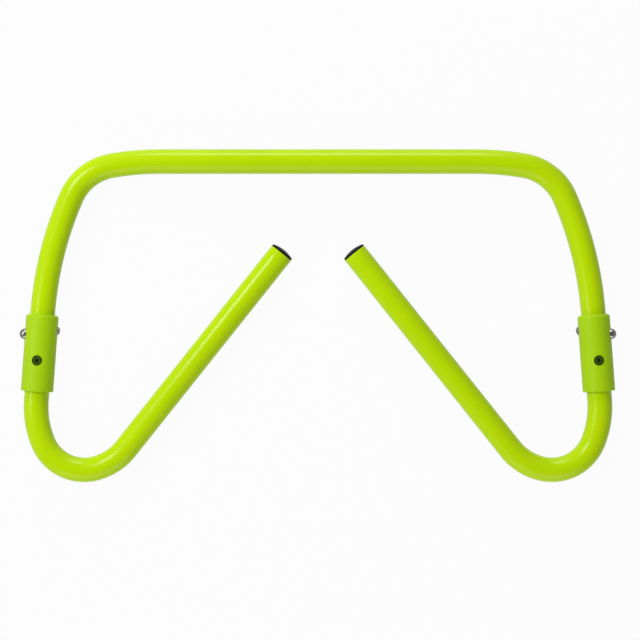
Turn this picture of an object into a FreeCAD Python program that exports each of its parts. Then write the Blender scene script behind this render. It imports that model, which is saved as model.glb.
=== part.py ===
import FreeCAD, Part
import os
import Sketcher
from FreeCAD import Placement, Rotation, Vector
from math import cos, radians, sin

# A folding speed hurdle, lying flat with its legs folded in beside its frame.
# X runs along the crossbar, Y from the leg bends to the crossbar, Z up from the floor.
# The right half is modelled, and the left half is its mirror image.
doc = FreeCAD.newDocument("speed_hurdle")

SIZES = {
    # Steel tube that the frame and both legs are bent from
    "tube_diameter": 22.2,
    "tube_wall": 1.2,
    # Frame: crossbar, a slow bend into the corner, the corner, and a long gentle bend down the post
    "bar_half_length": 141.5,
    "bar_ease_radius": 263.0,
    "bar_ease_turn": 9.6,
    "corner_radius": 49.0,
    "corner_turn": 57.0,
    "post_radius": 322.0,
    "post_lean": 4.2,
    "post_straight": 1.0,
    "post_depth": 33.0,
    # Moulded sleeve that joins post and leg, with a rib inside between the two tube ends
    "sleeve_wall": 3.3,
    "sleeve_length": 69.0,
    "sleeve_clearance": 0.08,
    "sleeve_top_round": 2.6,
    "sleeve_bottom_round": 0.8,
    "sleeve_lead_in": 0.5,
    "rib_height": 1.0,
    "rib_thickness": 2.0,
    "end_gap": 0.4,
    # Snap buttons that lock the sleeve to the post, on the two arms of one spring
    "button_rise": 17.0,
    "button_stagger": 4.6,
    "button_turn": 11.0,
    "button_diameter": 9.5,
    "button_clearance": 0.2,
    "button_flange_diameter": 11.0,
    "button_flange_thickness": 0.8,
    "button_flange_gap": 0.3,
    "outer_button_proud": 4.6,
    "inner_button_proud": 2.1,
    "spring_thickness": 0.7,
    "spring_width": 8.0,
    "spring_arm": 16.0,
    "spring_tail": 6.5,
    "spring_seat_gap": 0.05,
    # Recessed screw that keeps the leg in the sleeve and stops its swing
    "screw_below_leg_end": 5.2,
    "screw_head_diameter": 9.0,
    "screw_head_thickness": 1.1,
    "screw_head_clearance": 0.2,
    "screw_floor": 1.1,
    "screw_shank_diameter": 5.0,
    "screw_shank_clearance": 0.1,
    "screw_reach": 0.8,
    "screw_socket": 3.0,
    "screw_socket_depth": 2.0,
    # Leg: straight through the sleeve, three bends of one hook, then the long arm
    "leg_straight": 7.9,
    "leg_entry_radius": 84.6,
    "leg_entry_turn": 26.2,
    "leg_bend_radius": 40.0,
    "leg_bend_turn": 80.6,
    "leg_exit_radius": 51.0,
    "arm_angle": 34.3,
    "arm_length": 224.9,
    "leg_swing": 90.0,
    "slot_clearance": 0.3,
    # Domed plug in the open end of each arm
    "plug_head_inset": 0.3,
    "plug_rim": 1.8,
    "plug_dome": 2.0,
    "plug_wall": 1.6,
    "plug_clearance": 0.1,
    "plug_barb_count": 3,
    "plug_barb_pitch": 4.0,
    "plug_barb_height": 0.6,
    "plug_tail": 3.0,
}
sheet = doc.addObject("Spreadsheet::Sheet", "sizes")
for row, (alias, value) in enumerate(SIZES.items(), 1):
    sheet.set(f"A{row}", alias)
    sheet.set(f"B{row}", str(value))
    sheet.setAlias(f"B{row}", alias)
doc.recompute()

# Sizes that follow from the driving ones, as expressions on the sheet
TUBE_RADIUS = "(sizes.tube_diameter / 2)"
TUBE_BORE = f"({TUBE_RADIUS} - sizes.tube_wall)"
SLEEVE_BORE = f"({TUBE_RADIUS} + sizes.sleeve_clearance)"
SLEEVE_RADIUS = f"({SLEEVE_BORE} + sizes.sleeve_wall)"
RIB_TOP = "(sizes.post_depth + sizes.end_gap)"
RIB_FOOT = f"({RIB_TOP} + sizes.rib_thickness)"
LEG_TOP = f"({RIB_FOOT} + sizes.end_gap)"
SCREW_DEPTH = f"({LEG_TOP} + sizes.screw_below_leg_end)"
BUTTON_DEPTH = "(sizes.post_depth - sizes.button_rise)"
OUTER_BUTTON_DEPTH = f"({BUTTON_DEPTH} + sizes.button_stagger / 2)"
INNER_BUTTON_DEPTH = f"({BUTTON_DEPTH} - sizes.button_stagger / 2)"
BUTTON_RADIUS = "(sizes.button_diameter / 2)"
FLANGE_RADIUS = "(sizes.button_flange_diameter / 2)"
# The flange lies under the tube wall where the round bore leaves its rim room
FLANGE_TOP = f"(sqrt({TUBE_BORE} ^ 2 - {FLANGE_RADIUS} ^ 2) - sizes.button_flange_gap)"
BUTTON_BASE = f"({FLANGE_TOP} - sizes.button_flange_thickness)"
SPRING_SPAN = f"({BUTTON_BASE} - sizes.spring_seat_gap)"
SCREW_SEAT = f"({SLEEVE_BORE} + sizes.screw_floor)"
SCREW_TOP = f"({SCREW_SEAT} + sizes.screw_head_thickness)"
SCREW_TIP = f"({TUBE_BORE} - sizes.screw_reach)"
SCREW_RADIUS = "(sizes.screw_shank_diameter / 2)"
SLOT_RADIUS = f"({SCREW_RADIUS} + sizes.slot_clearance)"
PLUG_BARB = f"({TUBE_BORE} - sizes.plug_clearance)"
PLUG_CORE = f"({PLUG_BARB} - sizes.plug_barb_height)"
POST_TURN = "(90 - sizes.post_lean - sizes.bar_ease_turn - sizes.corner_turn)"
EXIT_TURN = "(180 - sizes.arm_angle - sizes.leg_entry_turn - sizes.leg_bend_turn)"


# Headings of a course, in degrees from the X axis
ALONG = 0
DOWN = -90
LEVEL_BACK = -180


def value_of(expression):
    return float(sheet.evalExpression(expression))


def new_body(name):
    body = doc.addObject("PartDesign::Body", name)
    body.Label = name
    return body


def plane_of(body, role):
    return next(feature for feature in body.Origin.OriginFeatures if feature.Role == role)


def new_sketch(body, name, role):
    sketch = body.newObject("Sketcher::SketchObject", name)
    sketch.AttachmentSupport = [(plane_of(body, role), "")]
    sketch.MapMode = "FlatFace"
    return sketch


def bind(sketch, kind, where, expression, unit="mm"):
    """Add a dimension to a sketch and tie it to an expression on the sheet."""
    number = value_of(expression)
    if unit == "deg":
        number = radians(number)
    index = sketch.addConstraint(Sketcher.Constraint(kind, *where, number))
    sketch.setExpression(f"Constraints[{index}]", f"({expression}) * 1 {unit}")


def place_vertex(sketch, side, vertex, x, y):
    """Fix one vertex of a sketch by its two distances from the sketch's origin."""
    for kind, axis, expression in (("DistanceX", -2, x), ("DistanceY", -1, y)):
        if expression == "0":
            sketch.addConstraint(Sketcher.Constraint("PointOnObject", side, vertex, axis))
        else:
            bind(sketch, kind, (-1, 1, side, vertex), expression)


def outline(sketch, corners, rounds=None):
    """Draw a closed outline through corners given as pairs of expressions.

    rounds gives, for the side that leaves a corner, the centre of its arc and the way it turns.
    """
    points = [Vector(value_of(x), value_of(y), 0) for x, y in corners]
    ends = []
    for side, start in enumerate(points):
        finish = points[(side + 1) % len(points)]
        if rounds and side in rounds:
            centre_x, centre_y, turns_left = rounds[side]
            centre = Vector(value_of(centre_x), value_of(centre_y), 0)
            circle = Part.Circle(centre, Vector(0, 0, 1), (start - centre).Length)
            first, last = (start, finish) if turns_left else (finish, start)
            arc = Part.ArcOfCircle(circle, circle.parameter(first), circle.parameter(last))
            sketch.addGeometry(arc, False)
            ends.append((1, 2) if turns_left else (2, 1))
        else:
            sketch.addGeometry(Part.LineSegment(start, finish), False)
            ends.append((1, 2))
    for side, (x, y) in enumerate(corners):
        entry, leave = ends[side]
        following = (side + 1) % len(corners)
        next_entry = ends[following][0]
        sketch.addConstraint(Sketcher.Constraint("Coincident", side, leave, following, next_entry))
        place_vertex(sketch, side, entry, x, y)
    for side, (centre_x, centre_y, turns_left) in (rounds or {}).items():
        if centre_x == "0":
            bind(sketch, "DistanceY", (-1, 1, side, 3), centre_y)
        elif centre_y == "0":
            sketch.addConstraint(Sketcher.Constraint("PointOnObject", side, 3, -1))
        else:
            bind(sketch, "DistanceX", (-1, 1, side, 3), centre_x)


def revolved(name, corners, axis, rounds=None):
    """A turned or moulded round piece: a half section spun about a sketch axis."""
    body = new_body(name)
    section = new_sketch(body, f"{name}_section", "XY_Plane")
    outline(section, corners, rounds)
    spin = body.newObject("PartDesign::Revolution", f"{name}_spin")
    spin.Profile = section
    spin.ReferenceAxis = (section, [axis])
    spin.Angle = 360
    return body


def walk(start, heading, runs):
    """Follow straight runs and right-hand bends, and give each one's start, heading and centre of bend."""
    steps = []
    point = start
    for size, turn in runs:
        length = value_of(size)
        ahead = Vector(cos(radians(heading)), sin(radians(heading)), 0)
        right = Vector(ahead.y, -ahead.x, 0)
        centre = None if turn is None else point + right * length
        steps.append((point, heading, centre, length))
        if turn is None:
            point = point + ahead * length
        else:
            heading = heading - value_of(turn)
            point = centre + Vector(-sin(radians(heading)), cos(radians(heading)), 0) * length
    return steps, point, heading


def foot_of(steps):
    """The lowest point of a hook: under the centre of the bend that its course is level in."""
    for (start, heading, centre, length), following in zip(steps, steps[1:]):
        if heading > LEVEL_BACK >= following[1]:
            return centre.y - length


def draw_path(sketch, heading, runs, first_rule):
    """Draw the centre line of a bent tube: each run or bend tangent to the one before it."""
    steps, finish = walk(Vector(0, 0, 0), heading, runs)[:2]
    joins = [step[0] for step in steps[1:]] + [finish]
    exit_vertex = 1
    for side, ((start, course, centre, length), stop) in enumerate(zip(steps, joins)):
        size, turn = runs[side]
        if turn is None:
            sketch.addGeometry(Part.LineSegment(start, stop), False)
            entry, leave = 1, 2
        else:
            circle = Part.Circle(centre, Vector(0, 0, 1), length)
            arc = Part.ArcOfCircle(circle, circle.parameter(stop), circle.parameter(start))
            sketch.addGeometry(arc, False)
            entry, leave = 2, 1
        if side == 0:
            sketch.addConstraint(Sketcher.Constraint("Coincident", 0, 1, -1, 1))
            sketch.addConstraint(Sketcher.Constraint(first_rule, 0))
        else:
            sketch.addConstraint(Sketcher.Constraint("Tangent", side - 1, exit_vertex, side, entry))
        exit_vertex = leave
    for side, (size, turn) in enumerate(runs):
        bind(sketch, "Distance" if turn is None else "Radius", (side,), size)
        if turn is not None:
            bind(sketch, "Angle", (side,), turn, "deg")


def bent_tube(name, heading, runs, first_rule, section_plane):
    """A tube bent from one length: its ring section swept along the centre line."""
    body = new_body(name)
    path = new_sketch(body, f"{name}_path", "XY_Plane")
    draw_path(path, heading, runs, first_rule)
    ring = new_sketch(body, f"{name}_ring", section_plane)
    for side, radius in enumerate((TUBE_RADIUS, TUBE_BORE)):
        ring.addGeometry(Part.Circle(Vector(0, 0, 0), Vector(0, 0, 1), value_of(radius)), False)
        ring.addConstraint(Sketcher.Constraint("Coincident", side, 3, -1, 1))
        bind(ring, "Radius", (side,), radius)
    doc.recompute()
    pipe = body.newObject("PartDesign::AdditivePipe", f"{name}_sweep")
    pipe.Profile = ring
    pipe.Spine = (path, [f"Edge{side + 1}" for side in range(len(runs))])
    return body, pipe


def cylinder(name, radius, height, placement):
    solid = doc.addObject("Part::Cylinder", name)
    solid.setExpression("Radius", radius)
    solid.setExpression("Height", height)
    solid.Placement = placement
    return solid


def fused(name, solids):
    union = doc.addObject("Part::MultiFuse", name)
    union.Shapes = solids
    return union


def cut(name, base, tool):
    piece = doc.addObject("Part::Cut", name)
    piece.Base = base
    piece.Tool = tool
    piece.Label = name
    return piece


def mirrored(name, source):
    twin = doc.addObject("Part::Mirroring", name)
    twin.Source = source
    twin.Normal = Vector(1, 0, 0)
    twin.Label = name
    return twin


# Courses of the two bent tubes: straight runs as (length, None), bends as (radius, turn)
FRAME_BENDS = [
    ("sizes.bar_half_length", None),
    ("sizes.bar_ease_radius", "sizes.bar_ease_turn"),
    ("sizes.corner_radius", "sizes.corner_turn"),
    ("sizes.post_radius", POST_TURN),
    ("sizes.post_straight", None),
]
FRAME_RUNS = FRAME_BENDS[:-1] + [("sizes.post_straight + sizes.post_depth", None)]
LEG_RUNS = [
    (f"sizes.sleeve_length - {LEG_TOP} + sizes.leg_straight", None),
    ("sizes.leg_entry_radius", "sizes.leg_entry_turn"),
    ("sizes.leg_bend_radius", "sizes.leg_bend_turn"),
    ("sizes.leg_exit_radius", EXIT_TURN),
    ("sizes.arm_length", None),
]

# The sleeve's top is where the frame's course ends, and the leg hangs from it on the same axis.
# The part's origin is midway between the crossbar's far side and the leg bends' far side.
sleeve_top, post_heading = walk(Vector(0, 0, 0), ALONG, FRAME_BENDS)[1:]
post_down = Vector(cos(radians(post_heading)), sin(radians(post_heading)), 0)
leg_steps, arm_end, arm_heading = walk(sleeve_top + post_down * value_of(LEG_TOP), post_heading, LEG_RUNS)
lift = Vector(0, -foot_of(leg_steps) / 2, value_of(SLEEVE_RADIUS))
post = Placement(sleeve_top + lift, Rotation(Vector(0, 0, 1), value_of("sizes.post_lean")))


def on_post(depth, turn=None, offset=Vector(0, 0, 0)):
    """A place on the sleeve's axis, this far below its top and turned about that axis."""
    spin = Rotation() if turn is None else turn
    return post * Placement(Vector(0, -value_of(depth), 0) + offset, spin)


# Directions across the sleeve: OUTWARD, INWARD and UPWARD each take a turned piece's own X axis
# there, AXIS_TO_X lays a cylinder along X first, and SLOT_TURN lays one along the sleeve's axis
OUTWARD = Rotation(Vector(0, 1, 0), -value_of("sizes.button_turn"))
INWARD = Rotation(Vector(0, 1, 0), 180 - value_of("sizes.button_turn"))
UPWARD = Rotation(Vector(0, 1, 0), -90)
AXIS_TO_X = Rotation(Vector(0, 1, 0), 90)
SLOT_TURN = Rotation(Vector(0, 0, 1), Vector(-1, 0, 0), Vector(0, -1, 0), "ZXY")

# Holes for the two buttons, through sleeve and post alike
HOLE_RADIUS = f"{BUTTON_RADIUS} + sizes.button_clearance"
HOLE_REACH = f"2 * {SLEEVE_RADIUS}"
outer_hole = cylinder("outer_hole", HOLE_RADIUS, HOLE_REACH, on_post(OUTER_BUTTON_DEPTH, OUTWARD * AXIS_TO_X))
inner_hole = cylinder("inner_hole", HOLE_RADIUS, HOLE_REACH, on_post(INNER_BUTTON_DEPTH, INWARD * AXIS_TO_X))
right_holes = fused("right_holes", [outer_hole, inner_hole])
left_holes = mirrored("left_holes", right_holes)

# Frame: one half is swept, mirrored at the middle of the crossbar, then drilled for the buttons
frame_body, frame_sweep = bent_tube("bent_frame", ALONG, FRAME_RUNS, "Horizontal", "YZ_Plane")
frame_mirror = frame_body.newObject("PartDesign::Mirrored", "frame_mirror")
frame_mirror.Originals = [frame_sweep]
frame_mirror.MirrorPlane = (plane_of(frame_body, "YZ_Plane"), [""])
frame_body.Tip = frame_mirror
frame_body.Placement = Placement(lift, Rotation())
frame_tube = cut("frame_tube", frame_body, fused("frame_holes", [right_holes, left_holes]))

# Sleeve: moulded round its bore, with the rib that parts the two tube ends
TOP_ROUND_CENTRE = (f"{SLEEVE_RADIUS} - sizes.sleeve_top_round", "-sizes.sleeve_top_round")
FOOT_ROUND_CENTRE = (
    f"{SLEEVE_RADIUS} - sizes.sleeve_bottom_round",
    "sizes.sleeve_bottom_round - sizes.sleeve_length",
)
sleeve_body = revolved(
    "moulded_sleeve",
    [
        (f"{SLEEVE_BORE} + sizes.sleeve_lead_in", "0"),
        (TOP_ROUND_CENTRE[0], "0"),
        (SLEEVE_RADIUS, TOP_ROUND_CENTRE[1]),
        (SLEEVE_RADIUS, FOOT_ROUND_CENTRE[1]),
        (FOOT_ROUND_CENTRE[0], "-sizes.sleeve_length"),
        (f"{SLEEVE_BORE} + sizes.sleeve_lead_in", "-sizes.sleeve_length"),
        (SLEEVE_BORE, "sizes.sleeve_lead_in - sizes.sleeve_length"),
        (SLEEVE_BORE, f"-{RIB_FOOT}"),
        (f"{SLEEVE_BORE} - sizes.rib_height", f"-{RIB_FOOT}"),
        (f"{SLEEVE_BORE} - sizes.rib_height", f"-{RIB_TOP}"),
        (SLEEVE_BORE, f"-{RIB_TOP}"),
        (SLEEVE_BORE, "-sizes.sleeve_lead_in"),
    ],
    "V_Axis",
    {1: (*TOP_ROUND_CENTRE, False), 3: (*FOOT_ROUND_CENTRE, False)},
)
sleeve_body.Placement = post
screw_seat = cylinder(
    "screw_seat",
    "sizes.screw_head_diameter / 2 + sizes.screw_head_clearance",
    HOLE_REACH,
    on_post(SCREW_DEPTH, offset=Vector(0, 0, value_of(SCREW_SEAT))),
)
screw_hole = cylinder(
    "screw_hole",
    f"{SCREW_RADIUS} + sizes.screw_shank_clearance",
    HOLE_REACH,
    on_post(SCREW_DEPTH),
)
right_sleeve = cut("right_sleeve", sleeve_body, fused("sleeve_holes", [right_holes, screw_seat, screw_hole]))

# Leg: swept along its hook, then slotted near its top end for the screw's shank.
# The slot runs a quarter turn, from the screw at rest round to the side that the arm folds in from.
leg_body, leg_sweep = bent_tube("bent_leg", DOWN, LEG_RUNS, "Vertical", "XZ_Plane")
leg_body.Placement = on_post(LEG_TOP)
slot_sweep = cylinder(
    "slot_sweep",
    HOLE_REACH,
    f"2 * {SLOT_RADIUS}",
    on_post(SCREW_DEPTH, SLOT_TURN, Vector(0, value_of(SLOT_RADIUS), 0)),
)
slot_sweep.setExpression("Angle", "sizes.leg_swing * 1 deg")
SLOT_END = Rotation(Vector(0, 1, 0), -value_of("sizes.leg_swing"))
slot_start = cylinder("slot_start", SLOT_RADIUS, HOLE_REACH, on_post(SCREW_DEPTH))
slot_finish = cylinder("slot_finish", SLOT_RADIUS, HOLE_REACH, on_post(SCREW_DEPTH, SLOT_END))
right_leg = cut("right_leg", leg_body, fused("leg_slot", [slot_sweep, slot_start, slot_finish]))


def snap_button(name, proud, depth, turn):
    """A button with a flange that stays behind the tube wall and a domed end outside the sleeve."""
    tip = f"({SLEEVE_RADIUS} + {proud})"
    dome = f"({tip} - {BUTTON_RADIUS})"
    button = revolved(
        name,
        [
            (BUTTON_BASE, "0"),
            (tip, "0"),
            (dome, BUTTON_RADIUS),
            (FLANGE_TOP, BUTTON_RADIUS),
            (FLANGE_TOP, FLANGE_RADIUS),
            (BUTTON_BASE, FLANGE_RADIUS),
        ],
        "H_Axis",
        {1: (dome, "0", True)},
    )
    button.Placement = on_post(depth, turn)
    return button


right_outer_button = snap_button(
    "right_outer_button", "sizes.outer_button_proud", OUTER_BUTTON_DEPTH, OUTWARD
)
right_inner_button = snap_button(
    "right_inner_button", "sizes.inner_button_proud", INNER_BUTTON_DEPTH, INWARD
)

# Spring: one strip bent to a hairpin inside the post, with a button on the outside of each arm
right_snap_spring = new_body("right_snap_spring")
strip = new_sketch(right_snap_spring, "spring_strip", "XY_Plane")
SPRING_TOP = "(sizes.button_stagger / 2 + sizes.spring_arm)"
SPRING_FOOT = "(-sizes.button_stagger / 2 - sizes.spring_tail)"
SPRING_INSIDE = f"({SPRING_SPAN} - sizes.spring_thickness)"
outline(
    strip,
    [
        (SPRING_SPAN, SPRING_FOOT),
        (SPRING_SPAN, SPRING_TOP),
        (f"-{SPRING_SPAN}", SPRING_TOP),
        (f"-{SPRING_SPAN}", SPRING_FOOT),
        (f"-{SPRING_INSIDE}", SPRING_FOOT),
        (f"-{SPRING_INSIDE}", SPRING_TOP),
        (SPRING_INSIDE, SPRING_TOP),
        (SPRING_INSIDE, SPRING_FOOT),
    ],
    {1: ("0", SPRING_TOP, True), 5: ("0", SPRING_TOP, False)},
)
strip_pad = right_snap_spring.newObject("PartDesign::Pad", "spring_pad")
strip_pad.Profile = strip
strip_pad.SideType = "Symmetric"
strip_pad.setExpression("Length", "sizes.spring_width")
right_snap_spring.Placement = on_post(BUTTON_DEPTH, OUTWARD)

# Retaining screw: a low head sunk in the sleeve, and a shank that runs in the leg's slot
screw_body = revolved(
    "turned_screw",
    [
        (SCREW_TIP, "0"),
        (SCREW_TOP, "0"),
        (SCREW_TOP, "sizes.screw_head_diameter / 2"),
        (SCREW_SEAT, "sizes.screw_head_diameter / 2"),
        (SCREW_SEAT, SCREW_RADIUS),
        (SCREW_TIP, SCREW_RADIUS),
    ],
    "H_Axis",
)
screw_body.Placement = on_post(SCREW_DEPTH, UPWARD)
socket = doc.addObject("Part::Prism", "screw_socket")
socket.Polygon = 6
socket.setExpression("Circumradius", "sizes.screw_socket / 2 / cos(30 deg)")
socket.setExpression("Height", "2 * sizes.screw_socket_depth")
socket_floor = Vector(0, 0, value_of(f"{SCREW_TOP} - sizes.screw_socket_depth"))
socket.Placement = on_post(SCREW_DEPTH, offset=socket_floor)
right_retaining_screw = cut("right_retaining_screw", screw_body, socket)

# End plug: a domed head on the arm's end, and a hollow stem with barbs inside the tube
barb_corners = []
for barb in range(int(value_of("sizes.plug_barb_count"))):
    crest = f"(-sizes.plug_barb_pitch * {barb + 0.5})"
    barb_corners.append((PLUG_CORE, crest))
    barb_corners.append((PLUG_BARB, crest))
    barb_corners.append((PLUG_CORE, f"({crest} - sizes.plug_barb_pitch / 2)"))
PLUG_HEAD = f"({TUBE_RADIUS} - sizes.plug_head_inset)"
PLUG_TOP = "(sizes.plug_rim + sizes.plug_dome)"
PLUG_FOOT = "(-sizes.plug_barb_count * sizes.plug_barb_pitch - sizes.plug_tail)"
PLUG_DOME_CENTRE = f"({PLUG_TOP} - ({PLUG_HEAD} ^ 2 + sizes.plug_dome ^ 2) / (2 * sizes.plug_dome))"
right_end_plug = revolved(
    "right_end_plug",
    [
        ("0", PLUG_TOP),
        (PLUG_HEAD, "sizes.plug_rim"),
        (PLUG_HEAD, "0"),
        (PLUG_CORE, "0"),
        *barb_corners,
        (PLUG_CORE, PLUG_FOOT),
        (f"{PLUG_CORE} - sizes.plug_wall", PLUG_FOOT),
        (f"{PLUG_CORE} - sizes.plug_wall", "sizes.plug_rim - sizes.plug_wall"),
        ("0", "sizes.plug_rim - sizes.plug_wall"),
    ],
    "V_Axis",
    {0: ("0", PLUG_DOME_CENTRE, False)},
)
right_end_plug.Placement = Placement(arm_end + lift, Rotation(Vector(0, 0, 1), arm_heading + DOWN))

RIGHT_PIECES = [
    right_sleeve,
    right_leg,
    right_end_plug,
    right_outer_button,
    right_inner_button,
    right_snap_spring,
    right_retaining_screw,
]
left_pieces = [mirrored(piece.Label.replace("right_", "left_"), piece) for piece in RIGHT_PIECES]
doc.recompute()

for item in doc.Objects:
    if "Invalid" in item.State or "Error" in item.State:
        raise RuntimeError(f"{item.Name} failed: {item.State}")

pieces = [frame_tube, *RIGHT_PIECES, *left_pieces]
for piece in pieces:
    if piece.Shape.isNull() or not piece.Shape.isValid() or len(piece.Shape.Solids) != 1:
        raise RuntimeError(f"{piece.Label} is not one sound solid")

os.makedirs("parts", exist_ok=True)
for piece in pieces:
    piece.Shape.exportStep(f"parts/{piece.Label}.step")
    print(f"{piece.Label}: {piece.Shape.Volume:.1f} mm3")
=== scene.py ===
from math import ceil, cos, pi, radians, sin, sqrt
import bpy
from mathutils import Matrix, Vector


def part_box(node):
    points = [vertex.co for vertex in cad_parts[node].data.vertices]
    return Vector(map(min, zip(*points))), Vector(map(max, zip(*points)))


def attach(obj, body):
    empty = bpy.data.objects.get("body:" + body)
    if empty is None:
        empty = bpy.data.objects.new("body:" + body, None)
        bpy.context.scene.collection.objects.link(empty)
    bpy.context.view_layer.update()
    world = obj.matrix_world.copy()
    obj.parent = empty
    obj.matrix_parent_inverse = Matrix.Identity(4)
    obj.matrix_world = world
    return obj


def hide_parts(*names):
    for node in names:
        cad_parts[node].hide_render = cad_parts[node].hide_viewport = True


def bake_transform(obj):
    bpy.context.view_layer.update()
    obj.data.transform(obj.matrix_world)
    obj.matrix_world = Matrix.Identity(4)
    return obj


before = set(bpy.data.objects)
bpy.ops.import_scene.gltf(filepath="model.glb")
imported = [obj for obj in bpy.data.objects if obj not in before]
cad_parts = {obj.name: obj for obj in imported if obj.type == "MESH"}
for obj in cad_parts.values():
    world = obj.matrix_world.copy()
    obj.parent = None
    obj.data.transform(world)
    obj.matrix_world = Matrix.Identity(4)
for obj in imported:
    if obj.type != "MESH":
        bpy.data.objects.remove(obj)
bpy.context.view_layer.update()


# Frame: the crossbar and both posts are one length of round steel tube, cold bent on a former, drilled
# near both ends for the snap buttons and then sprayed with enamel, so that the coat runs unbroken.
# Sizes are in metres and angles in degrees, here and below.
UP = Vector((0, 0, 1))
TUBE_RADIUS = 0.0111
TUBE_WALL = 0.0012
TUBE_EDGE_ROUND = 0.0004
TUBE_SEGMENTS = 112
RUN_STEP = 0.012
BEND_STEP = 1.5
BAR_HALF_LENGTH = 0.1415
BAR_EASE_RADIUS = 0.263
BAR_EASE_TURN = 9.6
CORNER_RADIUS = 0.049
CORNER_TURN = 57.0
POST_RADIUS = 0.322
POST_LEAN = 4.2
POST_TURN = 90 - POST_LEAN - BAR_EASE_TURN - CORNER_TURN
POST_STRAIGHT = 0.001
POST_DEPTH = 0.033
BUTTON_RADIUS = 0.00475
BUTTON_CLEARANCE = 0.0002
BUTTON_HOLE = BUTTON_RADIUS + BUTTON_CLEARANCE
BUTTON_RISE = 0.017
BUTTON_DEPTH = POST_DEPTH - BUTTON_RISE
BUTTON_STAGGER = 0.0046
BUTTON_TURN = 11.0
HOLE_SEGMENTS = 64
HOLE_REACH = 0.03
POLE = 0.000001
MERGE = 0.000005
frame_low, frame_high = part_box("frame_tube")
AXIS_HEIGHT = (frame_low.z + frame_high.z) / 2
bar_middle = Vector((0, frame_high.y - TUBE_RADIUS, AXIS_HEIGHT))


def start_shaping(name):
    """Name a new primitive, put its place into its mesh, and open it for shaping, all selected."""
    piece = bpy.context.object
    piece.name = name
    piece.data.name = name
    bpy.ops.object.transform_apply(location=True, rotation=True, scale=True)
    bpy.ops.object.mode_set(mode="EDIT")
    bpy.ops.mesh.select_all(action="SELECT")
    return piece


def end_shaping():
    """Turn all faces of the piece that is open for shaping outwards, and close it."""
    bpy.ops.mesh.select_all(action="SELECT")
    bpy.ops.mesh.normals_make_consistent(inside=False)
    bpy.ops.object.mode_set(mode="OBJECT")


def pick(piece):
    """Select one piece alone, and make it the active one."""
    bpy.ops.object.select_all(action="DESELECT")
    piece.select_set(True)
    bpy.context.view_layer.objects.active = piece


def draw_tube(name, start, heading, runs):
    """Draw a ring along straight runs (length, None) and right-hand bends (radius, turn).

    Gives the tube, the point where its axis ends and its heading there, in degrees from X.
    """
    bpy.ops.object.select_all(action="DESELECT")
    bpy.ops.mesh.primitive_circle_add(
        vertices=TUBE_SEGMENTS,
        radius=TUBE_RADIUS,
        location=start,
        rotation=(0, radians(90), radians(heading)),
    )
    tube = start_shaping(name)
    point = start
    for size, turn in runs:
        ahead = Vector((cos(radians(heading)), sin(radians(heading)), 0))
        if turn is None:
            steps = ceil(size / RUN_STEP)
            for _ in range(steps):
                bpy.ops.mesh.extrude_region_move(TRANSFORM_OT_translate={"value": ahead * size / steps})
            point = point + ahead * size
        else:
            centre = point + Vector((ahead.y, -ahead.x, 0)) * size
            steps = ceil(turn / BEND_STEP)
            bpy.ops.mesh.spin(steps=steps, angle=radians(turn), center=centre, axis=UP)
            heading = heading - turn
            point = centre + Vector((-sin(radians(heading)), cos(radians(heading)), 0)) * size
    end_shaping()
    return tube, point, heading


def apply_modifier(piece, kind, **settings):
    """Add a modifier to a piece, set it and apply it."""
    pick(piece)
    bpy.ops.object.modifier_add(type=kind)
    modifier = piece.modifiers[-1]
    for setting, value in settings.items():
        setattr(modifier, setting, value)
    bpy.ops.object.modifier_apply(modifier=modifier.name)


def break_edges(piece, width, segments=3, angle=60):
    """Round those edges of a piece that turn by more than an angle."""
    apply_modifier(
        piece,
        "BEVEL",
        width=width,
        segments=segments,
        limit_method="ANGLE",
        angle_limit=radians(angle),
    )


def give_wall(tube):
    """Give a drawn tube its wall, inwards, and break the sharp edges of its cut ends."""
    apply_modifier(tube, "SOLIDIFY", thickness=TUBE_WALL, offset=-1)
    break_edges(tube, TUBE_EDGE_ROUND)


def turn_rings(name, foot, axis, rings, segments):
    """Turn a piece about an axis from rings given as (distance along the axis, radius).

    A ring of the POLE radius closes to a point, and a last ring on the first one closes the section.
    The piece is turned upright at the origin, where small rings stay true, and then put in its place.
    """
    along, radius = rings[0]
    bpy.ops.object.select_all(action="DESELECT")
    bpy.ops.mesh.primitive_circle_add(vertices=segments, radius=radius, location=UP * along)
    piece = start_shaping(name)
    for next_along, next_radius in rings[1:]:
        bpy.ops.mesh.extrude_region_move(TRANSFORM_OT_translate={"value": UP * (next_along - along)})
        factor = next_radius / radius
        bpy.ops.transform.resize(value=(factor, factor, factor), center_override=UP * next_along)
        along, radius = next_along, next_radius
    bpy.ops.mesh.select_all(action="SELECT")
    bpy.ops.mesh.remove_doubles(threshold=MERGE)
    end_shaping()
    piece.rotation_euler = UP.rotation_difference(axis).to_euler()
    piece.location = foot
    bpy.ops.object.transform_apply(location=True, rotation=True, scale=True)
    return piece


def peg(name, foot, axis, radius):
    """A round cutter for a hole, from a point on the tube's axis outwards."""
    rings = [(0, POLE), (0, radius), (HOLE_REACH, radius), (HOLE_REACH, POLE)]
    return turn_rings(name, foot, axis, rings, HOLE_SEGMENTS)


def cut_away(piece, cutter):
    """Cut one piece with another, and delete the cutter."""
    apply_modifier(piece, "BOOLEAN", operation="DIFFERENCE", solver="EXACT", object=cutter)
    bpy.data.objects.remove(cutter)


def make_pair(piece):
    """Mirror a copy of a finished right-hand piece, with its own mesh, to the left, and name both."""
    name = piece.name
    pick(piece)
    bpy.ops.object.duplicate(linked=False)
    twin = bpy.context.object
    bpy.ops.object.mode_set(mode="EDIT")
    bpy.ops.mesh.select_all(action="SELECT")
    bpy.ops.transform.mirror(constraint_axis=(True, False, False), center_override=(0, 0, 0))
    bpy.ops.mesh.flip_normals()
    bpy.ops.object.mode_set(mode="OBJECT")
    pair = {"right": piece, "left": twin}
    for side, half in pair.items():
        half.name = f"{side}_{name}"
        half.data.name = half.name
    return pair


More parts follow.
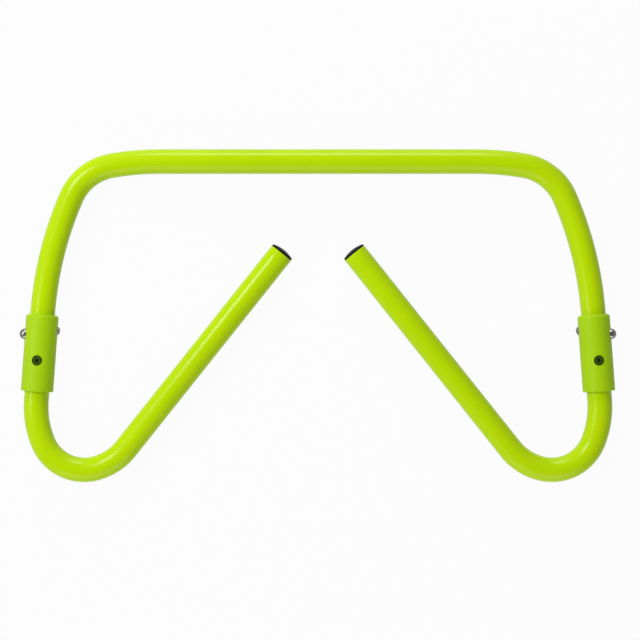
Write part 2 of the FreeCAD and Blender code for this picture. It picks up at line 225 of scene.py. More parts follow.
def smooth(piece, angle=35):
    """Shade a piece smooth, and keep its edges over an angle sharp."""
    pick(piece)
    bpy.ops.object.shade_smooth_by_angle(angle=radians(angle))


def linear(code):
    """The linear colour of an sRGB hex value."""
    colour = []
    for start in (0, 2, 4):
        value = int(code[start : start + 2], 16) / 255
        colour.append(value / 12.92 if value <= 0.04045 else ((value + 0.055) / 1.055) ** 2.4)
    return (*colour, 1)


def new_material(name):
    """A new node material, and the principled shader on its output."""
    material = bpy.data.materials.new(name)
    material.use_nodes = True
    return material, material.node_tree.nodes["Principled BSDF"]


def add_node(material, kind, settings, links):
    """Add a node, set its sockets (by name or number) and properties, and link other sockets to it."""
    node = material.node_tree.nodes.new(kind)
    for name, value in settings.items():
        if isinstance(name, int) or name in node.inputs:
            node.inputs[name].default_value = value
        else:
            setattr(node, name, value)
    for name, source in links.items():
        material.node_tree.links.new(source, node.inputs[name])
    return node


# Sprayed gloss enamel on steel: a clear lime coat that shows soft highlights, with a faint orange peel
# and slow changes of depth where the spray passed. Orange peel is about 3 mm from dimple to dimple.
ENAMEL_LIGHT = "BADC00"
ENAMEL_DEEP = "AFD300"
SPRAY_PASS = 0.06
ORANGE_PEEL = 0.003
PEEL_DEPTH = 0.00002
PEEL_STRENGTH = 0.08
SMEAR = 0.012
ENAMEL_SMOOTHEST = 0.18
ENAMEL_ROUGHEST = 0.25
ENAMEL_SPECULAR = 0.15
lime_enamel, enamel_shader = new_material("lime_gloss_enamel")
surface = add_node(lime_enamel, "ShaderNodeTexCoord", {}, {})
spray = add_node(
    lime_enamel,
    "ShaderNodeTexNoise",
    {"Scale": 1 / SPRAY_PASS, "Detail": 2.0},
    {"Vector": surface.outputs["Object"]},
)
coat_colour = add_node(
    lime_enamel,
    "ShaderNodeMix",
    {"data_type": "RGBA", "A": linear(ENAMEL_LIGHT), "B": linear(ENAMEL_DEEP)},
    {"Factor": spray.outputs["Fac"]},
)
smear = add_node(
    lime_enamel,
    "ShaderNodeTexNoise",
    {"Scale": 1 / SMEAR, "Detail": 4.0},
    {"Vector": surface.outputs["Object"]},
)
gloss = add_node(
    lime_enamel,
    "ShaderNodeMapRange",
    {"To Min": ENAMEL_SMOOTHEST, "To Max": ENAMEL_ROUGHEST},
    {"Value": smear.outputs["Fac"]},
)
peel = add_node(
    lime_enamel,
    "ShaderNodeTexNoise",
    {"Scale": 1 / ORANGE_PEEL, "Detail": 1.0},
    {"Vector": surface.outputs["Object"]},
)
peel_bump = add_node(
    lime_enamel,
    "ShaderNodeBump",
    {"Strength": PEEL_STRENGTH, "Distance": PEEL_DEPTH},
    {"Height": peel.outputs["Fac"]},
)
for source, socket in (
    (coat_colour.outputs["Result"], "Base Color"),
    (gloss.outputs["Result"], "Roughness"),
    (peel_bump.outputs["Normal"], "Normal"),
):
    lime_enamel.node_tree.links.new(source, enamel_shader.inputs[socket])
enamel_shader.inputs["Specular IOR Level"].default_value = ENAMEL_SPECULAR

FRAME_RUNS = [
    (BAR_HALF_LENGTH, None),
    (BAR_EASE_RADIUS, BAR_EASE_TURN),
    (CORNER_RADIUS, CORNER_TURN),
    (POST_RADIUS, POST_TURN),
    (POST_STRAIGHT + POST_DEPTH, None),
]
frame_tube, post_end, post_heading = draw_tube("bent_frame", bar_middle, heading=0, runs=FRAME_RUNS)
apply_modifier(frame_tube, "MIRROR", merge_threshold=MERGE)
bpy.ops.object.mode_set(mode="EDIT")
end_shaping()
give_wall(frame_tube)

# The right sleeve's axis is its post's own. It starts at the sleeve's top and runs down to the leg.
# The outer button sits a little lower than the inner one, and both lean a little out of the flat.
down = Vector((cos(radians(post_heading)), sin(radians(post_heading)), 0))
across = UP.cross(down)
sleeve_top = post_end - down * POST_DEPTH
outward = across * cos(radians(BUTTON_TURN)) + UP * sin(radians(BUTTON_TURN))
BUTTON_PLACES = {
    "outer": (sleeve_top + down * (BUTTON_DEPTH + BUTTON_STAGGER / 2), outward),
    "inner": (sleeve_top + down * (BUTTON_DEPTH - BUTTON_STAGGER / 2), -outward),
}
for foot, way in BUTTON_PLACES.values():
    for hole in make_pair(peg("button_hole", foot, way, BUTTON_HOLE)).values():
        cut_away(frame_tube, hole)
smooth(frame_tube)
frame_tube.data.materials.append(lime_enamel)
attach(frame_tube, "frame")
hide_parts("frame_tube")


# Sleeves: each is one moulding of tough lime plastic, bored for the tubes, with a rib half way down
# that parts the tube ends. It has a hole on both sides for the snap buttons and a sunk seat in front.
BORE_CLEARANCE = 0.00008
SLEEVE_BORE = TUBE_RADIUS + BORE_CLEARANCE
SLEEVE_WALL = 0.0033
SLEEVE_RADIUS = SLEEVE_BORE + SLEEVE_WALL
SLEEVE_LENGTH = 0.069
SLEEVE_TOP_ROUND = 0.0026
SLEEVE_FOOT_ROUND = 0.0008
SLEEVE_LEAD_IN = 0.0005
SLEEVE_SEGMENTS = 160
ROUND_STEPS = 6
WALL_STEPS = 24
END_GAP = 0.0004
RIB_TOP = POST_DEPTH + END_GAP
RIB_THICKNESS = 0.002
RIB_FOOT = RIB_TOP + RIB_THICKNESS
RIB_HEIGHT = 0.001
LEG_TOP = RIB_FOOT + END_GAP
SLOT_INSET = 0.0052
SCREW_DEPTH = LEG_TOP + SLOT_INSET
SCREW_HEAD_RADIUS = 0.0045
HEAD_CLEARANCE = 0.0002
SCREW_SEAT_RADIUS = SCREW_HEAD_RADIUS + HEAD_CLEARANCE
SEAT_WALL = 0.0011
SCREW_SEAT = SLEEVE_BORE + SEAT_WALL
SCREW_RADIUS = 0.0025
SHANK_CLEARANCE = 0.0001
SCREW_HOLE = SCREW_RADIUS + SHANK_CLEARANCE
RIM_ROUND = 0.0004
RIM_STEPS = 3
RIM_TOLERANCE = 0.00003


def quarter_round(along, radius, size, start):
    """Rings of a quarter round about a centre (along, radius), from a starting angle in the section."""
    angles = [radians(start + 90 * step / ROUND_STEPS) for step in range(ROUND_STEPS + 1)]
    return [(along - size * cos(angle), radius + size * sin(angle)) for angle in angles]


def round_rim(sleeve, foot, axis, radius):
    """Round the rim that a hole leaves on the sleeve's outer face."""
    on_rim = []
    for vertex in sleeve.data.vertices:
        from_hole = vertex.co - foot
        from_sleeve = vertex.co - sleeve_top
        hole_reach = (from_hole - axis * from_hole.dot(axis)).length
        sleeve_reach = (from_sleeve - down * from_sleeve.dot(down)).length
        this_side = from_hole.dot(axis) > 0
        on_hole = abs(hole_reach - radius) < RIM_TOLERANCE
        on_face = abs(sleeve_reach - SLEEVE_RADIUS) < RIM_TOLERANCE
        on_rim.append(this_side and on_hole and on_face)
    pick(sleeve)
    bpy.ops.object.mode_set(mode="EDIT")
    bpy.ops.mesh.select_mode(type="EDGE")
    bpy.ops.mesh.select_all(action="DESELECT")
    bpy.ops.object.mode_set(mode="OBJECT")
    for edge in sleeve.data.edges:
        edge.select = all(on_rim[index] for index in edge.vertices)
    bpy.ops.object.mode_set(mode="EDIT")
    bpy.ops.mesh.bevel(offset=RIM_ROUND, segments=RIM_STEPS, affect="EDGES", clamp_overlap=True)
    bpy.ops.mesh.select_mode(type="VERT")
    bpy.ops.mesh.select_all(action="SELECT")
    bpy.ops.mesh.dissolve_degenerate(threshold=MERGE)
    bpy.ops.object.mode_set(mode="OBJECT")


# Moulded nylon with a fine spark-eroded grain: satin, a little deeper than the enamel beside it.
# Grain of 0.3 mm is too fine to show, so it is drawn at 0.8 mm.
NYLON_LIGHT = "A8D004"
NYLON_DEEP = "9EC802"
MOULD_GRAIN = 0.0008
GRAIN_DEPTH = 0.00003
GRAIN_STRENGTH = 0.5
MELT_FLOW = 0.03
NYLON_SMOOTHEST = 0.4
NYLON_ROUGHEST = 0.5
NYLON_SPECULAR = 0.18
lime_nylon, nylon_shader = new_material("lime_moulded_nylon")
surface = add_node(lime_nylon, "ShaderNodeTexCoord", {}, {})
flow = add_node(
    lime_nylon,
    "ShaderNodeTexNoise",
    {"Scale": 1 / MELT_FLOW, "Detail": 3.0, "Distortion": 0.6},
    {"Vector": surface.outputs["Object"]},
)
nylon_colour = add_node(
    lime_nylon,
    "ShaderNodeMix",
    {"data_type": "RGBA", "A": linear(NYLON_LIGHT), "B": linear(NYLON_DEEP)},
    {"Factor": flow.outputs["Fac"]},
)
grain = add_node(
    lime_nylon,
    "ShaderNodeTexNoise",
    {"Scale": 1 / MOULD_GRAIN, "Detail": 2.0, "Roughness": 0.6},
    {"Vector": surface.outputs["Object"]},
)
satin = add_node(
    lime_nylon,
    "ShaderNodeMapRange",
    {"To Min": NYLON_SMOOTHEST, "To Max": NYLON_ROUGHEST},
    {"Value": grain.outputs["Fac"]},
)
grain_bump = add_node(
    lime_nylon,
    "ShaderNodeBump",
    {"Strength": GRAIN_STRENGTH, "Distance": GRAIN_DEPTH},
    {"Height": grain.outputs["Fac"]},
)
for source, socket in (
    (nylon_colour.outputs["Result"], "Base Color"),
    (satin.outputs["Result"], "Roughness"),
    (grain_bump.outputs["Normal"], "Normal"),
):
    lime_nylon.node_tree.links.new(source, nylon_shader.inputs[socket])
nylon_shader.inputs["Specular IOR Level"].default_value = NYLON_SPECULAR

foot_start = SLEEVE_LENGTH - SLEEVE_FOOT_ROUND
wall_run = foot_start - SLEEVE_TOP_ROUND
SLEEVE_RINGS = [
    (SLEEVE_LEAD_IN, SLEEVE_BORE),
    (0, SLEEVE_BORE + SLEEVE_LEAD_IN),
    *quarter_round(SLEEVE_TOP_ROUND, SLEEVE_RADIUS - SLEEVE_TOP_ROUND, SLEEVE_TOP_ROUND, start=0),
    *[(SLEEVE_TOP_ROUND + wall_run * step / WALL_STEPS, SLEEVE_RADIUS) for step in range(1, WALL_STEPS)],
    *quarter_round(foot_start, SLEEVE_RADIUS - SLEEVE_FOOT_ROUND, SLEEVE_FOOT_ROUND, start=90),
    (SLEEVE_LENGTH, SLEEVE_BORE + SLEEVE_LEAD_IN),
    (SLEEVE_LENGTH - SLEEVE_LEAD_IN, SLEEVE_BORE),
    (RIB_FOOT, SLEEVE_BORE),
    (RIB_FOOT, SLEEVE_BORE - RIB_HEIGHT),
    (RIB_TOP, SLEEVE_BORE - RIB_HEIGHT),
    (RIB_TOP, SLEEVE_BORE),
    (SLEEVE_LEAD_IN, SLEEVE_BORE),
]
screw_foot = sleeve_top + down * SCREW_DEPTH
sleeve = turn_rings("moulded_sleeve", sleeve_top, down, SLEEVE_RINGS, SLEEVE_SEGMENTS)
cut_away(sleeve, peg("screw_hole", screw_foot, UP, SCREW_HOLE))
cut_away(sleeve, peg("screw_seat", screw_foot + UP * SCREW_SEAT, UP, SCREW_SEAT_RADIUS))
round_rim(sleeve, screw_foot, UP, SCREW_SEAT_RADIUS)
for foot, way in BUTTON_PLACES.values():
    cut_away(sleeve, peg("button_hole", foot, way, BUTTON_HOLE))
    round_rim(sleeve, foot, way, BUTTON_HOLE)
smooth(sleeve)
sleeve.data.materials.append(lime_nylon)
for side, half in make_pair(sleeve).items():
    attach(half, "frame")
    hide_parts(f"{side}_sleeve")


# Snap buttons: each is a turned steel pin with a domed end, plated bright, and a flange that stays
# behind the tube's wall. Two of them are staked on the arms of one hairpin spring inside the post.
BUTTON_PROUD = {"outer": 0.0046, "inner": 0.0021}
FLANGE_RADIUS = 0.0055
FLANGE_THICKNESS = 0.0008
FLANGE_GAP = 0.0003
FLANGE_TOP = sqrt((TUBE_RADIUS - TUBE_WALL) ** 2 - FLANGE_RADIUS**2) - FLANGE_GAP
DOME_STEPS = 24
DOME_ANGLES = [pi / 2 * step / DOME_STEPS for step in range(DOME_STEPS)]

# Bright nickel plate over turned steel: a soft shine with faint tarnish, dark where it is seen edge-on.
# That darkness is painted shade from a near-black edge tint, standing in for the shadowed floor it
# reflects.
# Tarnish is finer than shows, so its patches are drawn 0.6 mm across.
NICKEL_BRIGHT = "A6A4A0"
NICKEL_DULL = "868480"
NICKEL_EDGE_PAINTED_SHADE = "050505"
TARNISH = 0.0006
NICKEL_SMOOTHEST = 0.2
NICKEL_ROUGHEST = 0.32
nickel_plate, nickel_shader = new_material("bright_nickel_plate")
surface = add_node(nickel_plate, "ShaderNodeTexCoord", {}, {})
tarnish = add_node(
    nickel_plate,
    "ShaderNodeTexNoise",
    {"Scale": 1 / TARNISH, "Detail": 3.0},
    {"Vector": surface.outputs["Object"]},
)
nickel_colour = add_node(
    nickel_plate,
    "ShaderNodeMix",
    {"data_type": "RGBA", "A": linear(NICKEL_BRIGHT), "B": linear(NICKEL_DULL)},
    {"Factor": tarnish.outputs["Fac"]},
)
polish = add_node(
    nickel_plate,
    "ShaderNodeMapRange",
    {"To Min": NICKEL_SMOOTHEST, "To Max": NICKEL_ROUGHEST},
    {"Value": tarnish.outputs["Fac"]},
)
nickel_plate.node_tree.links.new(nickel_colour.outputs["Result"], nickel_shader.inputs["Base Color"])
nickel_plate.node_tree.links.new(polish.outputs["Result"], nickel_shader.inputs["Roughness"])
nickel_shader.inputs["Metallic"].default_value = 1.0
# The near-black edge tint is painted shade: it darkens the pins' rims seen edge-on, in place of reflected
# shadow.
nickel_shader.inputs["Specular Tint"].default_value = linear(NICKEL_EDGE_PAINTED_SHADE)

for where, (foot, way) in BUTTON_PLACES.items():
    tip = SLEEVE_RADIUS + BUTTON_PROUD[where]
    dome = tip - BUTTON_RADIUS
    rings = [
        (FLANGE_TOP - FLANGE_THICKNESS, POLE),
        (FLANGE_TOP - FLANGE_THICKNESS, FLANGE_RADIUS),
        (FLANGE_TOP, FLANGE_RADIUS),
        (FLANGE_TOP, BUTTON_RADIUS),
        *[(dome + BUTTON_RADIUS * sin(angle), BUTTON_RADIUS * cos(angle)) for angle in DOME_ANGLES],
        (tip, POLE),
    ]
    button = turn_rings(f"{where}_domed_pin", foot, way, rings, HOLE_SEGMENTS)
    smooth(button)
    button.data.materials.append(nickel_plate)
    for side, half in make_pair(button).items():
        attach(half, f"{side}_{where}_button")
        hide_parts(f"{side}_{where}_button")


# Snap springs: each is a strip of spring steel bent to a hairpin and pushed up inside the post, with a
# button staked on each arm. A pressed button takes its arm along. The hairpin is made as two halves that
# meet at its crown.
STRIP_THICKNESS = 0.0007
STRIP_WIDTH = 0.008
STRIP_ARM = 0.016
STRIP_TAIL = 0.0065
STRIP_SEAT_GAP = 0.00005
STRIP_EDGE_ROUND = 0.0001
STRIP_EDGE_STEPS = 2
STRIP_STEP = 0.001
CROWN_STEPS = 16
strip_seat = FLANGE_TOP - FLANGE_THICKNESS - STRIP_SEAT_GAP - STRIP_THICKNESS / 2
buttons_middle = sleeve_top + down * BUTTON_DEPTH
strip_foot = buttons_middle + down * (BUTTON_STAGGER / 2 + STRIP_TAIL)
crown = buttons_middle - down * (BUTTON_STAGGER / 2 + STRIP_ARM)

# Tempered spring steel strip: a blue-grey metal, out of sight inside the post. Its rolling marks are
# too fine to show, so they are drawn 0.8 mm apart.
STRIP_PALE = "8C8F93"
STRIP_DARK = "6F7276"
ROLLING_MARK = 0.0008
STRIP_SMOOTHEST = 0.3
STRIP_ROUGHEST = 0.42
spring_steel, spring_shader = new_material("tempered_spring_steel")
surface = add_node(spring_steel, "ShaderNodeTexCoord", {}, {})
rolling = add_node(
    spring_steel,
    "ShaderNodeTexNoise",
    {"Scale": 1 / ROLLING_MARK, "Detail": 2.0},
    {"Vector": surface.outputs["Object"]},
)
strip_colour = add_node(
    spring_steel,
    "ShaderNodeMix",
    {"data_type": "RGBA", "A": linear(STRIP_PALE), "B": linear(STRIP_DARK)},
    {"Factor": rolling.outputs["Fac"]},
)
strip_gloss = add_node(
    spring_steel,
    "ShaderNodeMapRange",
    {"To Min": STRIP_SMOOTHEST, "To Max": STRIP_ROUGHEST},
    {"Value": rolling.outputs["Fac"]},
)
spring_steel.node_tree.links.new(strip_colour.outputs["Result"], spring_shader.inputs["Base Color"])
spring_steel.node_tree.links.new(strip_gloss.outputs["Result"], spring_shader.inputs["Roughness"])
spring_shader.inputs["Metallic"].default_value = 1.0

for where, (foot, way) in BUTTON_PLACES.items():
    bpy.ops.object.select_all(action="DESELECT")
    bpy.ops.mesh.primitive_plane_add(
        size=1,
        location=strip_foot + way * strip_seat,
        rotation=Matrix((way, way.cross(down), -down)).transposed().to_euler(),
    )
    bpy.context.object.scale = (STRIP_THICKNESS, STRIP_WIDTH, 1)
    strip = start_shaping(f"{where}_spring_arm")
    arm = crown - strip_foot
    steps = ceil(arm.length / STRIP_STEP)
    for _ in range(steps):
        bpy.ops.mesh.extrude_region_move(TRANSFORM_OT_translate={"value": arm / steps})
    bpy.ops.mesh.spin(steps=CROWN_STEPS, angle=pi / 2, center=crown, axis=way.cross(down))
    bpy.ops.mesh.select_all(action="SELECT")
    bpy.ops.mesh.remove_doubles(threshold=MERGE)
    end_shaping()
    break_edges(strip, STRIP_EDGE_ROUND, segments=STRIP_EDGE_STEPS)
    smooth(strip)
    strip.data.materials.append(spring_steel)
    for side, half in make_pair(strip).items():
        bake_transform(half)
        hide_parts(f"{side}_snap_spring")


# Legs: each is a shorter length of the frame's tube, bent to a hook with a long straight arm.
# A quarter-turn slot near its top end runs round the retaining screw and stops the swing.
LEG_STRAIGHT = 0.0079
LEG_ENTRY_RADIUS = 0.0846
LEG_ENTRY_TURN = 26.2
LEG_BEND_RADIUS = 0.040
LEG_BEND_TURN = 80.6
LEG_EXIT_RADIUS = 0.051
ARM_ANGLE = 34.3
ARM_LENGTH = 0.2249
LEG_SWING = 90
SLOT_CLEARANCE = 0.0003
SLOT_RADIUS = SCREW_RADIUS + SLOT_CLEARANCE
SLOT_STEPS = 30
LEG_RUNS = [
    (SLEEVE_LENGTH - LEG_TOP + LEG_STRAIGHT, None),
    (LEG_ENTRY_RADIUS, LEG_ENTRY_TURN),
    (LEG_BEND_RADIUS, LEG_BEND_TURN),
    (LEG_EXIT_RADIUS, 180 - ARM_ANGLE - LEG_ENTRY_TURN - LEG_BEND_TURN),
    (ARM_LENGTH, None),
]
leg, arm_end, arm_heading = draw_tube("bent_leg", sleeve_top + down * LEG_TOP, post_heading, LEG_RUNS)
give_wall(leg)

# The slot's cutter is a square spun a quarter turn about the leg, with a round peg at both its ends
bpy.ops.object.select_all(action="DESELECT")
bpy.ops.mesh.primitive_plane_add(
    size=2 * SLOT_RADIUS,
    location=screw_foot + UP * TUBE_RADIUS,
    rotation=(radians(90), 0, radians(post_heading)),
)
slot = start_shaping("swing_slot")
bpy.ops.mesh.spin(steps=SLOT_STEPS, angle=radians(LEG_SWING), center=screw_foot, axis=-down)
end_shaping()
cut_away(leg, slot)
for way in (UP, -across):
    cut_away(leg, peg("slot_end", screw_foot, way, SLOT_RADIUS))
smooth(leg)
leg.data.materials.append(lime_enamel)
for side, half in make_pair(leg).items():
    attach(half, f"{side}_leg")
    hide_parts(f"{side}_leg")


# Retaining screws: each is a low socket screw, sunk in the seat on the sleeve's front face.
# Its shank passes the sleeve's wall and runs in the leg's slot.
SCREW_HEAD_THICKNESS = 0.0011
SCREW_TOP = SCREW_SEAT + SCREW_HEAD_THICKNESS
SCREW_PAST_WALL = 0.0008
SCREW_TIP = TUBE_RADIUS - TUBE_WALL - SCREW_PAST_WALL
SCREW_EDGE = 0.0003
SOCKET_SIDES = 6
SOCKET_ACROSS = 0.003
SOCKET_DEPTH = 0.002

# Steel coloured a dull, very dark olive green: painted shade, the look of a deep hole in shadow that the
# lime around it tints green. Its grain is too fine to show, so it is drawn at 0.9 mm.
HOLE_SHADE_DARK = "2A3F06"
HOLE_SHADE_PALE = "3C5709"
SCREW_GRAIN = 0.0009
SCREW_SMOOTHEST = 0.45
SCREW_ROUGHEST = 0.6
SCREW_SPECULAR = 0.1
screw_in_painted_hole_shade, screw_shader = new_material("steel_painted_as_hole_shade")
surface = add_node(screw_in_painted_hole_shade, "ShaderNodeTexCoord", {}, {})
screw_grain = add_node(
    screw_in_painted_hole_shade,
    "ShaderNodeTexNoise",
    {"Scale": 1 / SCREW_GRAIN, "Detail": 3.0},
    {"Vector": surface.outputs["Object"]},
)
# The two dark greens are painted shade of a deep hole, mixed by the grain.
painted_hole_shade_colour = add_node(
    screw_in_painted_hole_shade,
    "ShaderNodeMix",
    {"data_type": "RGBA", "A": linear(HOLE_SHADE_DARK), "B": linear(HOLE_SHADE_PALE)},
    {"Factor": screw_grain.outputs["Fac"]},
)
screw_gloss = add_node(
    screw_in_painted_hole_shade,
    "ShaderNodeMapRange",
    {"To Min": SCREW_SMOOTHEST, "To Max": SCREW_ROUGHEST},
    {"Value": screw_grain.outputs["Fac"]},
)
screw_in_painted_hole_shade.node_tree.links.new(painted_hole_shade_colour.outputs["Result"], screw_shader.inputs["Base Color"])
screw_in_painted_hole_shade.node_tree.links.new(screw_gloss.outputs["Result"], screw_shader.inputs["Roughness"])
screw_shader.inputs["Specular IOR Level"].default_value = SCREW_SPECULAR

SCREW_RINGS = [
    (SCREW_TIP, POLE),
    (SCREW_TIP, SCREW_RADIUS),
    (SCREW_SEAT, SCREW_RADIUS),
    (SCREW_SEAT, SCREW_HEAD_RADIUS),
    *quarter_round(SCREW_TOP - SCREW_EDGE, SCREW_HEAD_RADIUS - SCREW_EDGE, SCREW_EDGE, start=90),
    (SCREW_TOP, POLE),
]
screw = turn_rings("socket_screw", screw_foot, UP, SCREW_RINGS, HOLE_SEGMENTS)
bpy.ops.object.select_all(action="DESELECT")
bpy.ops.mesh.primitive_cylinder_add(
    vertices=SOCKET_SIDES,
    radius=SOCKET_ACROSS / 2 / cos(pi / SOCKET_SIDES),
    depth=2 * SOCKET_DEPTH,
    location=screw_foot + UP * SCREW_TOP,
)
cut_away(screw, bpy.context.object)
smooth(screw)
screw.data.materials.append(screw_in_painted_hole_shade)
for side, half in make_pair(screw).items():
    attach(half, "frame")
    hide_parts(f"{side}_retaining_screw")


# End plugs: each is a moulded black plug pushed into the arm's open end, with a low domed head
# nearly as wide as the tube and a hollow stem whose barbs grip the bore.
PLUG_HEAD_STEP = 0.0003
PLUG_HEAD_RADIUS = TUBE_RADIUS - PLUG_HEAD_STEP
PLUG_RIM = 0.0018
PLUG_DOME = 0.002
PLUG_WALL = 0.0016
PLUG_CLEARANCE = 0.0001
PLUG_BARB_RADIUS = TUBE_RADIUS - TUBE_WALL - PLUG_CLEARANCE
PLUG_BARB_HEIGHT = 0.0006
PLUG_CORE_RADIUS = PLUG_BARB_RADIUS - PLUG_BARB_HEIGHT
PLUG_BORE_RADIUS = PLUG_CORE_RADIUS - PLUG_WALL
PLUG_BARBS = 3
PLUG_BARB_PITCH = 0.004
PLUG_TAIL = 0.003
PLUG_STEM = PLUG_BARBS * PLUG_BARB_PITCH + PLUG_TAIL
PLUG_EDGE_ROUND = 0.0004
PLUG_EDGE_ANGLE = 50
PLUG_SHARP_ANGLE = 40
PLUG_SEGMENTS = 96

# Moulded black polyethylene: satin and slightly waxy, with a cool sheen on the dome. The mould's grain
# is too fine to show, so it is drawn at 0.9 mm.
PLUG_BLACK = "131316"
PLUG_GREY = "1D1D22"
PLUG_GRAIN = 0.0009
PLUG_GRAIN_DEPTH = 0.00003
PLUG_GRAIN_STRENGTH = 0.4
PLUG_SMOOTHEST = 0.4
PLUG_ROUGHEST = 0.5
PLUG_SPECULAR = 0.06
black_polyethylene, polyethylene_shader = new_material("black_moulded_polyethylene")
surface = add_node(black_polyethylene, "ShaderNodeTexCoord", {}, {})
plug_grain = add_node(
    black_polyethylene,
    "ShaderNodeTexNoise",
    {"Scale": 1 / PLUG_GRAIN, "Detail": 2.0},
    {"Vector": surface.outputs["Object"]},
)
plug_colour = add_node(
    black_polyethylene,
    "ShaderNodeMix",
    {"data_type": "RGBA", "A": linear(PLUG_BLACK), "B": linear(PLUG_GREY)},
    {"Factor": plug_grain.outputs["Fac"]},
)
plug_satin = add_node(
    black_polyethylene,
    "ShaderNodeMapRange",
    {"To Min": PLUG_SMOOTHEST, "To Max": PLUG_ROUGHEST},
    {"Value": plug_grain.outputs["Fac"]},
)
plug_bump = add_node(
    black_polyethylene,
    "ShaderNodeBump",
    {"Strength": PLUG_GRAIN_STRENGTH, "Distance": PLUG_GRAIN_DEPTH},
    {"Height": plug_grain.outputs["Fac"]},
)
for source, socket in (
    (plug_colour.outputs["Result"], "Base Color"),
    (plug_satin.outputs["Result"], "Roughness"),
    (plug_bump.outputs["Normal"], "Normal"),
):
    black_polyethylene.node_tree.links.new(source, polyethylene_shader.inputs[socket])
polyethylene_shader.inputs["Specular IOR Level"].default_value = PLUG_SPECULAR

barb_rings = []
for barb in range(PLUG_BARBS):
    crest = -PLUG_BARB_PITCH * (barb + 0.5)
    barb_rings.append((crest - PLUG_BARB_PITCH / 2, PLUG_CORE_RADIUS))
    barb_rings.append((crest, PLUG_BARB_RADIUS))
    barb_rings.append((crest, PLUG_CORE_RADIUS))
barb_rings.sort()
dome_radius = (PLUG_HEAD_RADIUS**2 + PLUG_DOME**2) / (2 * PLUG_DOME)
dome_centre = PLUG_RIM + PLUG_DOME - dome_radius
dome_reach = [PLUG_HEAD_RADIUS * (1 - step / DOME_STEPS) for step in range(DOME_STEPS)]
PLUG_RINGS = [
    (PLUG_RIM - PLUG_WALL, POLE),
    (PLUG_RIM - PLUG_WALL, PLUG_BORE_RADIUS),
    (-PLUG_STEM, PLUG_BORE_RADIUS),
    (-PLUG_STEM, PLUG_CORE_RADIUS),
    *barb_rings,
    (0, PLUG_CORE_RADIUS),
    (0, PLUG_HEAD_RADIUS),
    *[(dome_centre + sqrt(dome_radius**2 - reach**2), reach) for reach in dome_reach],
    (PLUG_RIM + PLUG_DOME, POLE),
]
arm_axis = Vector((cos(radians(arm_heading)), sin(radians(arm_heading)), 0))
plug = turn_rings("domed_plug", arm_end, arm_axis, PLUG_RINGS, PLUG_SEGMENTS)
break_edges(plug, PLUG_EDGE_ROUND, angle=PLUG_EDGE_ANGLE)
smooth(plug, angle=PLUG_SHARP_ANGLE)
plug.data.materials.append(black_polyethylene)
for side, half in make_pair(plug).items():
    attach(half, f"{side}_leg")
    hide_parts(f"{side}_end_plug")


# Floor: a pale studio sheet that the folded hurdle lies on, so wide that low views don't see its end.
# The camera and reflections see it nearly white, and it keeps a faint share of the hurdle's shadow.
FLOOR_SIZE = 120.0
FLOOR_PALE = "9C9C9C"
FLOOR_GLOW = 1.0
WHITE = "FFFFFF"
SHADOW_SHARE = 0.04
bpy.ops.object.select_all(action="DESELECT")
bpy.ops.mesh.primitive_plane_add(size=FLOOR_SIZE)
floor = bpy.context.object
floor.name = "floor"
paper, paper_shader = new_material("pale_studio_paper")
paper_shader.inputs["Base Color"].default_value = linear(FLOOR_PALE)
paper_shader.inputs["Roughness"].default_value = 1.0
glow = add_node(paper, "ShaderNodeEmission", {"Color": linear(WHITE), "Strength": FLOOR_GLOW}, {})
rays = add_node(paper, "ShaderNodeLightPath", {}, {})
seen = add_node(
    paper,
    "ShaderNodeMath",
    {"operation": "MAXIMUM"},
    {0: rays.outputs["Is Camera Ray"], 1: rays.outputs["Is Glossy Ray"]},
)
shown = add_node(
    paper,
    "ShaderNodeMath",
    {"operation": "MAXIMUM"},
    {0: seen.outputs["Value"], 1: rays.outputs["Is Transmission Ray"]},
)
share = add_node(
    paper,
    "ShaderNodeMath",
    {"operation": "MULTIPLY", 1: 1 - SHADOW_SHARE},
    {0: shown.outputs["Value"]},
)
mixed = add_node(
    paper,
    "ShaderNodeMixShader",
    {},
    {"Fac": share.outputs["Value"], 1: paper_shader.outputs["BSDF"], 2: glow.outputs["Emission"]},
)
paper_output = paper.node_tree.nodes["Material Output"]
paper.node_tree.links.new(mixed.outputs["Shader"], paper_output.inputs["Surface"])
floor.data.materials.append(paper)


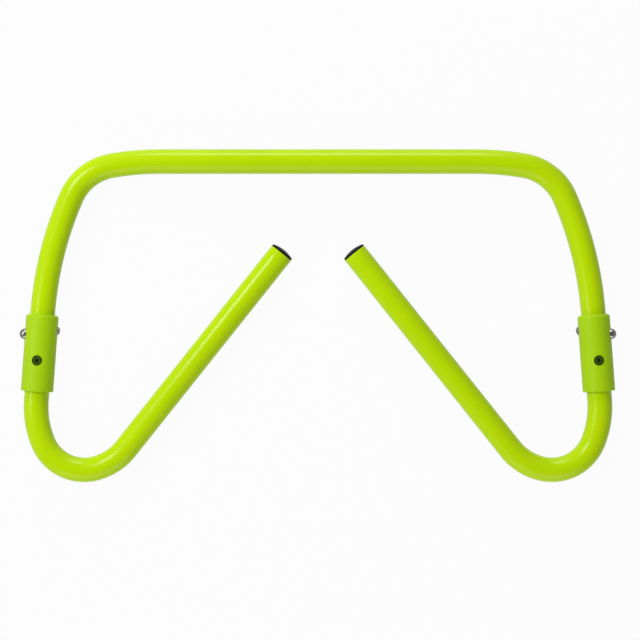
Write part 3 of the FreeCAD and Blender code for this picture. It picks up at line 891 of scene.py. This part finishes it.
# Light: a room with pale walls and a dim ceiling, and soft boxes to the left of the hurdle, beyond
# the crossbar and before the legs. The walls fill the shade, and the dim ceiling keeps the lime deep.
CEILING_LIGHT = 0.13
WALL_LIGHT = 0.43
SOFT_BOXES = {
    "left_soft_box": {"place": (-1.76, 0, 1.46), "width": 0.45, "height": 0.7, "watts": 9},
    "corner_soft_box": {"place": (-1.2, 0.96, 1.63), "width": 0.48, "height": 0.75, "watts": 23},
    "far_soft_box": {"place": (0, 2.27, 0.8), "width": 0.96, "height": 0.96, "watts": 24},
    "near_soft_box": {"place": (0, -2.32, 0.96), "width": 3.4, "height": 2, "watts": 38},
}
room = bpy.data.worlds.new("pale_walled_room")
bpy.context.scene.world = room
room.use_nodes = True
sight = add_node(room, "ShaderNodeTexCoord", {}, {})
sight_parts = add_node(room, "ShaderNodeSeparateXYZ", {}, {"Vector": sight.outputs["Generated"]})
height_squared = add_node(
    room,
    "ShaderNodeMath",
    {"operation": "MULTIPLY"},
    {0: sight_parts.outputs["Z"], 1: sight_parts.outputs["Z"]},
)
room_light = add_node(
    room,
    "ShaderNodeMapRange",
    {"To Min": WALL_LIGHT, "To Max": CEILING_LIGHT},
    {"Value": height_squared.outputs["Value"]},
)
backdrop = room.node_tree.nodes["Background"]
room.node_tree.links.new(room_light.outputs["Result"], backdrop.inputs["Strength"])
backdrop.inputs["Color"].default_value = linear(WHITE)
for name, box in SOFT_BOXES.items():
    place = Vector(box["place"])
    bpy.ops.object.light_add(type="AREA", location=place)
    lamp = bpy.context.object
    lamp.name = name
    lamp.data.shape = "RECTANGLE"
    lamp.data.size = box["width"]
    lamp.data.size_y = box["height"]
    lamp.data.energy = box["watts"]
    lamp.rotation_euler = (-place).to_track_quat("-Z", "Y").to_euler()


# Camera: square above the folded hurdle, as it is photographed. Its lens gives each picture element
# 0.9 mm at the height of the tubes' axes, which is the photograph's scale.
PHOTO_PIXELS = 640
PIXEL_SIZE = 0.0009
PHOTO_CENTRE = Vector((0.0018, -0.0039, 0))
CAMERA_HEIGHT = 1.62
bpy.ops.object.camera_add(location=PHOTO_CENTRE + UP * (AXIS_HEIGHT + CAMERA_HEIGHT), rotation=(0, 0, 0))
camera = bpy.context.object
camera.data.lens = camera.data.sensor_width * CAMERA_HEIGHT / (PHOTO_PIXELS * PIXEL_SIZE)
bpy.context.scene.camera = camera
bpy.context.scene.view_settings.view_transform = "Standard"
